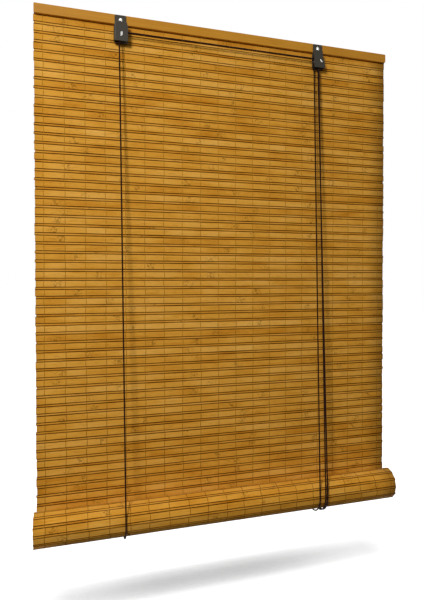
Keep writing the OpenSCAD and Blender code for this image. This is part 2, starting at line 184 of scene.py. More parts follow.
class Graph:
    """Adds nodes to one node tree, with each input given as a plain value or as a socket to link."""

    def __init__(self, tree: Tree) -> None:
        """Keeps the tree that the nodes go into."""
        self.tree = tree

    def node(self, kind: str, **settings: object) -> bpy.types.Node:
        """Makes a node and sets its properties.

        Args:
            kind: the node's type.
            **settings: properties by name.

        Returns:
            The new node.
        """
        node = self.tree.nodes.new(kind)
        for name, value in settings.items():
            setattr(node, name, value)
        return node

    def feed(self, socket: Socket, value: object) -> None:
        """Links an output to the socket, or sets the socket to a plain value.

        Args:
            socket: the input to feed.
            value: an output or a plain value.
        """
        if isinstance(value, Socket):
            self.tree.links.new(value, socket)
        else:
            socket.default_value = value

    def math(self, operation: str, *values: object, clamp: bool = False) -> Socket:
        """Works out a number from one to three values.

        Args:
            operation: what is worked out.
            *values: the numbers.
            clamp: whether the result is held between 0 and 1.

        Returns:
            The result.
        """
        node = self.node("ShaderNodeMath", operation=operation, use_clamp=clamp)
        for socket, value in zip(node.inputs, values):
            self.feed(socket, value)
        return node.outputs[0]

    def combine(self, x: object, y: object, z: object) -> Socket:
        """Joins three numbers to a vector.

        Args:
            x: the first number.
            y: the second number.
            z: the third number.

        Returns:
            The vector.
        """
        node = self.node("ShaderNodeCombineXYZ")
        for socket, value in zip(node.inputs, (x, y, z)):
            self.feed(socket, value)
        return node.outputs[0]

    def split(self, vector: object) -> tuple[Socket, ...]:
        """Splits a vector into its three numbers.

        Args:
            vector: the vector.

        Returns:
            X, Y and Z.
        """
        node = self.node("ShaderNodeSeparateXYZ")
        self.feed(node.inputs[0], vector)
        return tuple(node.outputs)

    def noise(self, vector: object, scale: float, detail: float = 2.0) -> Socket:
        """Makes cloudy noise from 0 to 1, with a middle of one half.

        Args:
            vector: the place.
            scale: how often it repeats in a unit of the place.
            detail: how many finer layers are added.

        Returns:
            The noise.
        """
        node = self.node("ShaderNodeTexNoise")
        self.feed(node.inputs["Vector"], vector)
        node.inputs["Scale"].default_value = scale
        node.inputs["Detail"].default_value = detail
        return node.outputs[0]

    def span(
        self, value: object, low: float, high: float, to_low: float = 0.0, to_high: float = 1.0
    ) -> Socket:
        """Carries a value smoothly from one range to another and holds it at the ends.

        Args:
            value: the number to carry.
            low: where the range starts.
            high: where the range ends.
            to_low: the result at the start.
            to_high: the result at the end.

        Returns:
            The result.
        """
        node = self.node("ShaderNodeMapRange", interpolation_type="SMOOTHSTEP")
        for socket, number in zip(node.inputs, (value, low, high, to_low, to_high)):
            self.feed(socket, number)
        return node.outputs[0]

    def mix(self, share: object, first: object, second: object, blend: str = "MIX") -> Socket:
        """Mixes two colours.

        Args:
            share: the second colour's share, from 0 to 1.
            first: the first colour.
            second: the second colour.
            blend: how the second goes over the first.

        Returns:
            The mixed colour.
        """
        node = self.node("ShaderNodeMix", data_type="RGBA", blend_type=blend)
        self.feed(node.inputs[0], share)
        self.feed(node.inputs[6], first)
        self.feed(node.inputs[7], second)
        return node.outputs[2]

    def ramp(self, value: object, *stops: tuple[float, Colour]) -> Socket:
        """Turns a number into a colour.

        Args:
            value: the number.
            *stops: numbers with their colours, in rising order.

        Returns:
            The colour between the stops.
        """
        node = self.node("ShaderNodeValToRGB")
        elements = node.color_ramp.elements
        while len(elements) < len(stops):
            elements.new(1.0)
        for element, (place, colour) in zip(elements, stops):
            element.position = place
            element.color = colour
        self.feed(node.inputs[0], value)
        return node.outputs[0]

    def field(self, name: str) -> Socket:
        """Reads a number that the mesh carries at its points."""
        node = self.node("ShaderNodeAttribute", attribute_name=name)
        return node.outputs["Fac"]

    def place(self) -> Socket:
        """The position on the piece, in metres."""
        return self.node("ShaderNodeTexCoord").outputs["Object"]

    def bump(self, height: object, depth: float, normal: object = None) -> Socket:
        """Turns a height into a normal.

        Args:
            height: the height, from 0 to 1.
            depth: depth of the relief.
            normal: the normal to start from, if it isn't the surface's own.

        Returns:
            The normal.
        """
        node = self.node("ShaderNodeBump")
        node.inputs["Distance"].default_value = depth
        self.feed(node.inputs["Height"], height)
        if normal is not None:
            self.feed(node.inputs["Normal"], normal)
        return node.outputs[0]

    def effect(self, group: Tree, **values: object) -> bpy.types.bpy_prop_collection:
        """Places a shared effect with its own values.

        Args:
            group: the effect.
            **values: its inputs by name.

        Returns:
            Its outputs by name.
        """
        node = self.node("ShaderNodeGroup", node_tree=group)
        for name, value in values.items():
            self.feed(node.inputs[name], value)
        return node.outputs


def new_group(name: str, inputs: dict[str, str], outputs: dict[str, str]) -> tuple[Graph, dict, dict]:
    """Makes an empty shared effect with named sockets.

    Args:
        name: the group's name.
        inputs: input names with their socket kinds.
        outputs: output names with their socket kinds.

    Returns:
        The group's graph, its input values by name and its output sockets by name.
    """
    tree = bpy.data.node_groups.new(name, "ShaderNodeTree")
    for socket_name, kind in inputs.items():
        tree.interface.new_socket(socket_name, in_out="INPUT", socket_type=kind)
    for socket_name, kind in outputs.items():
        tree.interface.new_socket(socket_name, in_out="OUTPUT", socket_type=kind)
    graph = Graph(tree)
    entry = graph.node("NodeGroupInput")
    exit_node = graph.node("NodeGroupOutput")
    given = {key: entry.outputs[key] for key in inputs}
    wanted = {key: exit_node.inputs[key] for key in outputs}
    return graph, given, wanted


class Effects:
    """The effects that several finishes share, each built once.

    FIBRES, PORES and CLOUDS are the noise's rates along the bamboo and across it, in waves to a metre.
    """

    FIBRES = (14.0, 900.0)
    PORES = (90.0, 2600.0)
    CLOUDS = (16.0, 40.0)
    SEED_SHIFT = 7.0
    BLOTCHES = 55.0
    SPECKS = 1900.0
    BREAKS = 420.0

    def __init__(self) -> None:
        """Builds the groups."""
        self.grain = self._grain()
        self.wear = self._wear()
        self.grime = self._grime()

    def _drawn_out(self, graph: Graph, given: dict, waves: tuple[float, float]) -> Socket:
        """Draws noise out along X: the place is taken at one rate along X and at another across it.

        Args:
            graph: the effect's graph.
            given: its inputs, Place and the Seed that shifts the pattern along X.
            waves: the two rates.

        Returns:
            The place to read the noise at.
        """
        along, across = waves
        x, y, z = graph.split(given["Place"])
        shifted = graph.math("MULTIPLY_ADD", given["Seed"], self.SEED_SHIFT, x)
        return graph.combine(
            graph.math("MULTIPLY", shifted, along),
            graph.math("MULTIPLY", y, across),
            graph.math("MULTIPLY", z, across),
        )

    def _grain(self) -> Tree:
        """Bamboo fibres along X: noise drawn out lengthwise, with fine dark pores.

        Returns:
            The group.
        """
        graph, given, wanted = new_group(
            "fibre_grain",
            {"Place": VECTOR, "Seed": NUMBER},
            {"Streak": NUMBER, "Pores": NUMBER, "Cloud": NUMBER},
        )
        streak = graph.noise(self._drawn_out(graph, given, self.FIBRES), 1.0, 3.0)
        pores = graph.noise(self._drawn_out(graph, given, self.PORES), 1.0, 1.0)
        cloud = graph.noise(self._drawn_out(graph, given, self.CLOUDS), 1.0, 2.0)
        graph.feed(wanted["Streak"], streak)
        graph.feed(wanted["Pores"], graph.span(pores, 0.60, 0.72))
        graph.feed(wanted["Cloud"], cloud)
        return graph.tree

    def _wear(self) -> Tree:
        """Rubbed edges: a rounded normal, and a mask where it leaves the flat one, broken by noise.

        Returns:
            The group.
        """
        graph, given, wanted = new_group(
            "edge_wear", {"Place": VECTOR, "Radius": NUMBER}, {"Mask": NUMBER, "Normal": VECTOR}
        )
        round_edge = graph.node("ShaderNodeBevel", samples=6)
        graph.feed(round_edge.inputs["Radius"], given["Radius"])
        flat = graph.node("ShaderNodeNewGeometry").outputs["Normal"]
        along = graph.node("ShaderNodeVectorMath", operation="DOT_PRODUCT")
        graph.feed(along.inputs[0], round_edge.outputs[0])
        graph.feed(along.inputs[1], flat)
        turned = graph.span(along.outputs["Value"], 0.995, 0.80)
        broken = graph.span(graph.noise(given["Place"], self.BREAKS, 4.0), 0.40, 0.62)
        graph.feed(wanted["Mask"], graph.math("MULTIPLY", turned, broken))
        graph.feed(wanted["Normal"], round_edge.outputs[0])
        return graph.tree

    def _grime(self) -> Tree:
        """Handling marks: soft blotches with fine specks, from 0 to 1.

        Returns:
            The group.
        """
        graph, given, wanted = new_group(
            "handling_marks", {"Place": VECTOR}, {"Blotch": NUMBER, "Speck": NUMBER}
        )
        graph.feed(wanted["Blotch"], graph.noise(given["Place"], self.BLOTCHES, 3.0))
        graph.feed(wanted["Speck"], graph.noise(given["Place"], self.SPECKS, 2.0))
        return graph.tree


def new_material(name: str) -> tuple[Material, Graph, bpy.types.Node]:
    """Makes a material with one principled shader.

    Args:
        name: the material's name.

    Returns:
        The material, its graph and the shader node.
    """
    material = bpy.data.materials.new(name)
    material.use_nodes = True
    return material, Graph(material.node_tree), material.node_tree.nodes["Principled BSDF"]


@dataclass(frozen=True)
class BambooFinish:
    """Split bamboo: tone from bar to bar, fibres, node marks, and painted shade that darkens the narrow
    edges where the bars meet.
    """

    name: str
    pale: Colour
    middle: Colour
    deep: Colour
    stain_and_groove_shade: Colour
    node_share: float
    block_pitch: float
    block_start: float
    tone_share: float = 0.14
    streak_share: float = 0.55
    cloud_share: float = 0.75
    block_share: float = 0.13
    block_seeds: float = 911.0
    pore_share: float = 0.35
    ring_share: float = 0.35
    ring_reach: tuple[float, float] = (1.6 * MM, 0.2 * MM)
    smudge_reach: tuple[float, float] = (11.0 * MM, 1.5 * MM)
    blotch_waves: float = 330.0
    ragged: float = 9.0 * MM
    ragged_waves: float = 240.0
    # Painted shade at the bars' narrow edges: its span on the edge field, and its share where it is
    # weakest.
    groove_shade: tuple[float, float] = (0.05, 0.50)
    weakest_groove_shade: float = 0.8
    roughness: tuple[float, float] = (0.42, 0.58)
    relief: float = 0.06 * MM
    gloss: float = 0.02

    def material(self, effects: Effects) -> Material:
        """Builds the finish from the fields tone, seed, edge and from_node of the bars.

        Args:
            effects: the shared effects.

        Returns:
            The material.
        """
        material, graph, shader = new_material(self.name)
        place = graph.place()
        seed = graph.field("seed")
        grain = graph.effect(effects.grain, Place=place, Seed=seed)
        value = graph.math("MULTIPLY_ADD", graph.field("tone"), self.tone_share, 0.5)
        for layer, share in (
            (grain["Streak"], self.streak_share),
            (grain["Cloud"], self.cloud_share),
            (self._block(graph, place, seed), self.block_share),
        ):
            value = graph.math("MULTIPLY_ADD", graph.math("SUBTRACT", layer, 0.5), share, value)
        colour = graph.ramp(value, (0.12, self.deep), (0.5, self.middle), (0.88, self.pale))
        colour = graph.mix(graph.math("MULTIPLY", grain["Pores"], self.pore_share), colour, self.stain_and_groove_shade)
        mark = self._node_mark(graph, place)
        colour = graph.mix(graph.math("MULTIPLY", mark, self.node_share), colour, self.stain_and_groove_shade)
        # Painted shade: the narrow edges of every bar go towards the dark brown colour, in place of the
        # shade in the grooves between bars, stronger in some stretches.
        uneven = graph.span(grain["Cloud"], 0.35, 0.65, 1.0, self.weakest_groove_shade)
        edge = graph.math("MULTIPLY", graph.span(graph.field("edge"), *self.groove_shade), uneven)
        graph.feed(shader.inputs["Base Color"], graph.mix(edge, colour, self.stain_and_groove_shade))
        graph.feed(shader.inputs["Roughness"], graph.span(grain["Streak"], 0.2, 0.8, *self.roughness))
        height = graph.math("SUBTRACT", grain["Streak"], graph.math("MULTIPLY", mark, 0.5))
        graph.feed(shader.inputs["Normal"], graph.bump(height, self.relief))
        shader.inputs["Specular IOR Level"].default_value = self.gloss
        return material

    def _block(self, graph: Graph, place: object, seed: object) -> Socket:
        """Draws a random number for each stretch of a bar between two threads.

        Args:
            graph: the material's graph.
            place: the position on the piece.
            seed: the bar's own number.

        Returns:
            A number from 0 to 1.
        """
        x = graph.split(place)[0]
        count = graph.math("DIVIDE", graph.math("SUBTRACT", x, self.block_start), self.block_pitch)
        bar = graph.math("MULTIPLY", seed, self.block_seeds)
        node = graph.node("ShaderNodeTexWhiteNoise", noise_dimensions="2D")
        graph.feed(node.inputs["Vector"], graph.combine(graph.math("FLOOR", count), bar, 0.0))
        return node.outputs["Value"]

    def _node_mark(self, graph: Graph, place: object) -> Socket:
        """Marks each bamboo node: a ragged ring line and broken blotches beside it.

        Args:
            graph: the material's graph.
            place: the position on the piece.

        Returns:
            How strong the mark is, from 0 to 1.
        """
        noise = graph.noise(place, self.ragged_waves, 3.0)
        ragged = graph.math("MULTIPLY_ADD", noise, self.ragged, -self.ragged / 2)
        near = graph.math("ABSOLUTE", graph.math("ADD", graph.field("from_node"), ragged))
        ring = graph.math("MULTIPLY", graph.span(near, *self.ring_reach), self.ring_share)
        patch = graph.span(near, *self.smudge_reach)
        blotch = graph.span(graph.noise(place, self.blotch_waves, 2.0), 0.47, 0.68)
        return graph.math("MAXIMUM", ring, graph.math("MULTIPLY", patch, blotch), clamp=True)


@dataclass(frozen=True)
class RailFinish:
    """Smooth lacquered bamboo or wood with fine grain along X and slightly rubbed edges."""

    name: str
    pale: Colour
    deep: Colour
    worn: Colour
    edge_radius: float
    streak_share: float = 0.55
    cloud_share: float = 0.45
    pore_share: float = 0.22
    wear_share: float = 0.55
    seed: float = 0.37
    roughness: tuple[float, float] = (0.36, 0.50)
    relief: float = 0.03 * MM
    gloss: float = 0.25

    def material(self, effects: Effects) -> Material:
        """Builds the finish.

        Args:
            effects: the shared effects.

        Returns:
            The material.
        """
        material, graph, shader = new_material(self.name)
        place = graph.place()
        grain = graph.effect(effects.grain, Place=place, Seed=self.seed)
        wear = graph.effect(effects.wear, Place=place, Radius=self.edge_radius)
        cloud = graph.math("MULTIPLY", grain["Cloud"], self.cloud_share)
        value = graph.math("MULTIPLY_ADD", grain["Streak"], self.streak_share, cloud)
        colour = graph.mix(graph.span(value, 0.30, 0.70), self.deep, self.pale)
        colour = graph.mix(graph.math("MULTIPLY", grain["Pores"], self.pore_share), colour, self.worn)
        colour = graph.mix(graph.math("MULTIPLY", wear["Mask"], self.wear_share), colour, self.worn)
        graph.feed(shader.inputs["Base Color"], colour)
        graph.feed(shader.inputs["Roughness"], graph.span(grain["Streak"], 0.2, 0.8, *self.roughness))
        graph.feed(shader.inputs["Normal"], graph.bump(grain["Streak"], self.relief, wear["Normal"]))
        shader.inputs["Specular IOR Level"].default_value = self.gloss
        return material


@dataclass(frozen=True)
class BarFinish:
    """Plain turned wood: growth rings about the bar's own axis, stretched into grain along it."""

    name: str
    pale: Colour
    dark: Colour
    ring: float
    pith: tuple[float, float] = (-3 * MM, 2 * MM)
    pore_share: float = 0.4
    seed: float = 0.61
    roughness: tuple[float, float] = (0.55, 0.72)
    relief: float = 0.08 * MM

    def material(self, effects: Effects, axis: Vector) -> Material:
        """Builds the finish.

        Args:
            effects: the shared effects.
            axis: a point on the bar's axis.

        Returns:
            The material.
        """
        material, graph, shader = new_material(self.name)
        place = graph.place()
        grain = graph.effect(effects.grain, Place=place, Seed=self.seed)
        mapping = graph.node("ShaderNodeMapping")
        graph.feed(mapping.inputs["Vector"], place)
        mapping.inputs["Location"].default_value = (0.0, -axis.y - self.pith[0], -axis.z - self.pith[1])
        _, y, z = graph.split(mapping.outputs[0])
        square = graph.math("MULTIPLY_ADD", y, y, graph.math("MULTIPLY", z, z))
        distance = graph.math("SQRT", square)
        uneven = graph.math("MULTIPLY_ADD", grain["Cloud"], self.ring, distance)
        wave = graph.math("SINE", graph.math("MULTIPLY", uneven, FULL_TURN / self.ring))
        colour = graph.mix(graph.span(wave, -0.8, 1.0), self.pale, self.dark)
        colour = graph.mix(graph.math("MULTIPLY", grain["Pores"], self.pore_share), colour, self.dark)
        graph.feed(shader.inputs["Base Color"], colour)
        graph.feed(shader.inputs["Roughness"], graph.span(grain["Streak"], 0.2, 0.8, *self.roughness))
        graph.feed(shader.inputs["Normal"], graph.bump(grain["Streak"], self.relief))
        return material


@dataclass(frozen=True)
class YarnFinish:
    """Thread or cord: painted shade darkens the valleys between strands, with fuzz and faded stretches."""

    name: str
    light: Colour
    dark: Colour
    roughness: float
    fuzz_scale: float
    relief: float
    valley_shade_share: float = 0.55
    fuzz_share: float = 0.5
    fade_share: float = 0.5
    fade_scale: float = 22.0
    roughness_range: float = 0.08
    gloss: float = 0.1

    def material(self) -> Material:
        """Builds the finish from the field lay, which is 1 on top of a strand and 0 beside it, where the
        colour is darkened as painted shade.

        Returns:
            The material.
        """
        material, graph, shader = new_material(self.name)
        place = graph.place()
        fuzz = graph.noise(place, self.fuzz_scale, 3.0)
        faded = graph.math("SUBTRACT", graph.noise(place, self.fade_scale, 2.0), 0.5)
        value = graph.math("MULTIPLY", fuzz, self.fuzz_share)
        # Painted shade: where lay is low, between strands and on a thread's side against the mat, the
        # colour goes towards dark.
        value = graph.math("MULTIPLY_ADD", graph.field("lay"), self.valley_shade_share, value)
        value = graph.math("MULTIPLY_ADD", faded, self.fade_share, value)
        colour = graph.mix(graph.span(value, 0.15, 0.95), self.dark, self.light)
        smooth = self.roughness - self.roughness_range
        rough = self.roughness + self.roughness_range
        graph.feed(shader.inputs["Base Color"], colour)
        graph.feed(shader.inputs["Roughness"], graph.span(fuzz, 0.3, 0.7, smooth, rough))
        graph.feed(shader.inputs["Normal"], graph.bump(fuzz, self.relief))
        shader.inputs["Specular IOR Level"].default_value = self.gloss
        return material


class Metal(Enum):
    """The metals: colour, worn colour, roughness, metallic share and depth of the specks."""

    BLACKENED = (srgb(53, 48, 39), srgb(122, 115, 104), 0.42, 0.55, 0.02 * MM)
    NICKEL = (srgb(214, 212, 206), srgb(240, 238, 232), 0.20, 1.0, 0.006 * MM)
    ZINC = (srgb(158, 158, 158), srgb(206, 205, 202), 0.36, 1.0, 0.012 * MM)
    WIRE = (srgb(142, 138, 130), srgb(186, 182, 174), 0.45, 1.0, 0.02 * MM)


@dataclass(frozen=True)
class MetalFinish:
    """A metal with handling marks and rubbed edges."""

    name: str
    metal: Metal
    edge_radius: float
    blotch_share: float = 0.35
    wear_share: float = 0.7
    smoother: float = 0.06
    rougher: float = 0.10

    def material(self, effects: Effects) -> Material:
        """Builds the finish.

        Args:
            effects: the shared effects.

        Returns:
            The material.
        """
        base, worn, roughness, metallic, depth = self.metal.value
        material, graph, shader = new_material(self.name)
        place = graph.place()
        marks = graph.effect(effects.grime, Place=place)
        wear = graph.effect(effects.wear, Place=place, Radius=self.edge_radius)
        blotch = graph.span(marks["Blotch"], 0.25, 0.75, 0.0, self.blotch_share)
        shade = graph.mix(blotch, base, worn, "MULTIPLY")
        colour = graph.mix(graph.math("MULTIPLY", wear["Mask"], self.wear_share), shade, worn)
        graph.feed(shader.inputs["Base Color"], colour)
        smooth = roughness - self.smoother
        rough = roughness + self.rougher
        graph.feed(shader.inputs["Roughness"], graph.span(marks["Blotch"], 0.3, 0.7, smooth, rough))
        graph.feed(shader.inputs["Normal"], graph.bump(marks["Speck"], depth, wear["Normal"]))
        shader.inputs["Metallic"].default_value = metallic
        return material


@dataclass(frozen=True)
class Section:
    """A bar's section: a rectangle with oval corners and a crowned front.

    The angle runs once round, from the upper edge over the front. Height comes from its cosine and
    depth from its sine, each added to a corner's middle.
    """

    corner_height: float
    crown: float
    front_points: int
    corner_depth: float = 0.7 * MM
    corner_steps: int = 4

    def grid(self) -> dict[str, np.ndarray]:
        """Lists the section's points.

        Returns:
            Arrays up and out, the side that each point lies on from -1 to 1, cosine and sine of its
            corner's angle, bulge, its share of the crown, and edge, 1 on the narrow sides.
        """
        quarter = np.linspace(0, math.pi / 2, self.corner_steps + 1)
        angle = np.concatenate([quarter + k * math.pi / 2 for k in range(4)])
        up = np.repeat([1.0, -1.0, -1.0, 1.0], self.corner_steps + 1)
        out = np.repeat([1.0, 1.0, -1.0, -1.0], self.corner_steps + 1)
        middle = np.linspace(1, -1, self.front_points + 2)[1:-1]
        first = self.corner_steps + 1
        table = {
            "up": np.insert(up, first, middle),
            "out": np.insert(out, first, np.ones_like(middle)),
            "cosine": np.insert(np.cos(angle), first, np.zeros_like(middle)),
            "sine": np.insert(np.sin(angle), first, np.ones_like(middle)),
            "bulge": np.insert(np.zeros_like(up), first, 1 - middle**2),
        }
        table["edge"] = np.abs(table["cosine"])
        return table


@dataclass(frozen=True)
class Bars:
    """Bars of bamboo side by side: where each lies, how it is turned and how its edges wander."""

    section: Section
    height: float
    thickness: float
    left: float
    right: float
    jag: float
    node_rise: float
    nodes: int
    seed: int
    edge_wander: float = 0.09 * MM
    edge_wave: float = 0.30
    bow: float = 0.05 * MM
    bow_wave: float = 0.22
    node_width: float = 4 * MM
    node_margin: float = 0.12
    node_rings: tuple[float, ...] = (-9 * MM, -4 * MM, 0.0, 4 * MM, 9 * MM)
    tone_spread: float = 0.55
    tone_limit: float = 1.2
    grid_points: int = 17

    def build(self, name: str, centre: np.ndarray, up: np.ndarray, front: np.ndarray) -> Piece:
        """Carries the section along each bar.

        A point lies at the bar's centre plus its height along up plus its depth along front. The height
        follows an upper and a lower edge that wander by themselves, and the depth swells at each node
        as a bell curve of the distance from it.

        Args:
            name: the new object's name.
            centre: the middles of the bars, (bars, 2) in Y and Z.
            up: unit vectors along the bars' height, (bars, 2).
            front: unit vectors out of the bars' front face, (bars, 2).

        Returns:
            The new object, with the fields tone, seed, edge and from_node.
        """
        rng = np.random.default_rng(self.seed)
        bars = len(centre)
        marks = self._node_places(rng, bars)
        x = self._places(rng, bars, marks)
        from_node = np.abs(x[:, :, None] - marks[:, None, :]).min(axis=2)
        upper = self.edge_wander * wander(rng, x, self.edge_wave)
        lower = self.edge_wander * wander(rng, x, self.edge_wave)
        swell = self.node_rise * np.exp(-((from_node / self.node_width) ** 2))
        bow = self.bow * wander(rng, x, self.bow_wave)
        table = self.section.grid()
        tall = self.section.corner_height
        deep = self.section.corner_depth
        rise = table["up"] * (self.height / 2 - tall) + tall * table["cosine"]
        stick_out = table["out"] * (self.thickness / 2 - deep) + deep * table["sine"]
        stick_out = stick_out + self.section.crown * table["bulge"]
        rise = rise + np.maximum(table["up"], 0) * upper[:, :, None]
        rise = rise + np.maximum(-table["up"], 0) * lower[:, :, None]
        stick_out = stick_out + table["out"] * swell[:, :, None] + bow[:, :, None]
        points = np.empty(rise.shape + (3,))
        points[..., 0] = x[:, :, None]
        points[..., 1:] = (
            centre[:, None, None, :]
            + rise[..., None] * up[:, None, None, :]
            + stick_out[..., None] * front[:, None, None, :]
        )
        tone = rng.normal(0, self.tone_spread, bars)
        fields = {
            "tone": tone.clip(-self.tone_limit, self.tone_limit)[:, None, None],
            "seed": rng.uniform(0, 1, bars)[:, None, None],
            "edge": table["edge"][None, None, :],
            "from_node": from_node[:, :, None],
        }
        return skin(name, points, fields)

    def _node_places(self, rng: np.random.Generator, bars: int) -> np.ndarray:
        """Puts one bamboo node somewhere in each equal share of every bar.

        Args:
            rng: the seeded source of random numbers.
            bars: number of bars.

        Returns:
            X of the nodes, (bars, nodes).
        """
        inside = rng.uniform(self.node_margin, 1 - self.node_margin, (bars, self.nodes))
        share = np.arange(self.nodes) + inside
        return self.left + (self.right - self.left) * share / self.nodes

    def _places(self, rng: np.random.Generator, bars: int, marks: np.ndarray) -> np.ndarray:
        """Spaces rings evenly from one ragged end to the other and adds some close to each node.

        Args:
            rng: the seeded source of random numbers.
            bars: number of bars.
            marks: X of the nodes, (bars, nodes).

        Returns:
            X of the rings in rising order, (bars, rings).
        """
        start = self.left + rng.uniform(-self.jag, self.jag, (bars, 1))
        stop = self.right - rng.uniform(-self.jag, self.jag, (bars, 1))
        even = start + (stop - start) * np.linspace(0, 1, self.grid_points)
        close = (marks[:, :, None] + np.array(self.node_rings)).reshape(bars, -1)
        return np.sort(np.concatenate([even, close], axis=1), axis=1)


class BarKind(Enum):
    """The two kinds of bar: corner height, crown, front points, ragged ends, node rise and nodes."""

    SLAT = (1.3 * MM, 0.05 * MM, 3, 0.6 * MM, 0.16 * MM, 3)
    STICK = (1.1 * MM, 0.06 * MM, 1, 0.9 * MM, 0.12 * MM, 2)


@dataclass(frozen=True)
class MatFinish:
    """The materials of the mat's slats, sticks and threads."""

    slat: Material
    stick: Material
    thread: Material


@dataclass(frozen=True)
class Weave:
    """Sizes of the woven mat, shared by its hanging part and the roll."""

    left: float
    right: float
    back: float
    slat_height: float = 9.9 * MM
    stick_height: float = 3.05 * MM
    gap: float = 0.4 * MM
    thickness: float = 1.5 * MM
    thread_lines: int = 20
    thread_inset: float = 12 * MM
    thread_width: float = 0.8 * MM
    thread_thickness: float = 0.28 * MM
    thread_sides: int = 6
    thread_lift: float = 0.11 * MM
    shoulder: float = 0.8 * MM
    lap: float = 0.3 * MM
    end_reach: float = 0.4 * MM

    @property
    def row(self) -> float:
        """Height of one slat, one stick and the two gaps beside them."""
        return self.slat_height + self.stick_height + 2 * self.gap

    @property
    def middle(self) -> float:
        """Y of the middle of the slats' thickness."""
        return self.back - self.thickness / 2

    @property
    def thread_places(self) -> np.ndarray:
        """X of each line of thread."""
        return np.linspace(self.left + self.thread_inset, self.right - self.thread_inset, self.thread_lines)

    @property
    def thread_step(self) -> float:
        """Distance from one line of thread to the next."""
        return (self.right - self.left - 2 * self.thread_inset) / (self.thread_lines - 1)

    def bars(self, kind: BarKind, seed: int, shift: float = 0.0) -> Bars:
        """Describes all slats or all sticks, drawn up to their neighbours.

        Args:
            kind: slats or sticks.
            seed: seed of their random numbers.
            shift: how far they are moved along X.

        Returns:
            The bars.
        """
        corner_height, crown, front_points, jag, node_rise, nodes = kind.value
        width = self.slat_height if kind is BarKind.SLAT else self.stick_height
        return Bars(
            Section(corner_height, crown, front_points),
            height=width + self.gap + self.lap,
            thickness=self.thickness,
            left=self.left - self.end_reach + shift,
            right=self.right + self.end_reach + shift,
            jag=jag,
            node_rise=node_rise,
            nodes=nodes,
            seed=seed,
        )

    def thread_section(self) -> np.ndarray:
        """Draws a thread's flat oval: half its width times the cosine, half its thickness times the sine.

        Returns:
            Points across the thread and out of the mat, (sides, 2).
        """
        angle = np.linspace(0, FULL_TURN, self.thread_sides, endpoint=False)
        half_width = self.thread_width / 2
        half_thickness = self.thread_thickness / 2
        return np.stack([half_width * np.cos(angle), half_thickness * np.sin(angle)], axis=1)


# How far a thread joins in its slat's shift: on the stick, at the seam above the slat, on the slat's
# two shoulders, and at the seam below it.
SLIDE_SHARE = np.array([0.5, 0.5, 1.0, 1.0, 0.5])


def threads(
    name: str,
    spine: np.ndarray,
    across: np.ndarray,
    out: np.ndarray,
    section: np.ndarray,
    light: np.ndarray,
) -> Piece:
    """Carries a flat oval along the lines of thread.

    A point lies at the ring's middle plus its first number along across plus its second along out.

    Args:
        name: the new object's name.
        spine: middles of the rings, (lines, rings, 3), in the direction across x out.
        across: unit vectors over the thread's width, (rings, 3).
        out: unit vectors out of the mat, (rings, 3).
        section: the oval's points, (sides, 2).
        light: how light each ring is, from 0 to 1, (rings,).

    Returns:
        The new object, with the field lay, up to 1 on the outside of the thread and 0 against the mat,
        where the finish paints shade.
    """
    points = (
        spine[:, :, None, :]
        + section[None, None, :, 0, None] * across[None, :, None, :]
        + section[None, None, :, 1, None] * out[None, :, None, :]
    )
    # Low lay on the side against the mat becomes painted shade in the thread's finish.
    lay = 0.5 + 0.5 * section[:, 1] / section[:, 1].max()
    return skin(name, points, {"lay": light[None, :, None] * lay[None, None, :]})


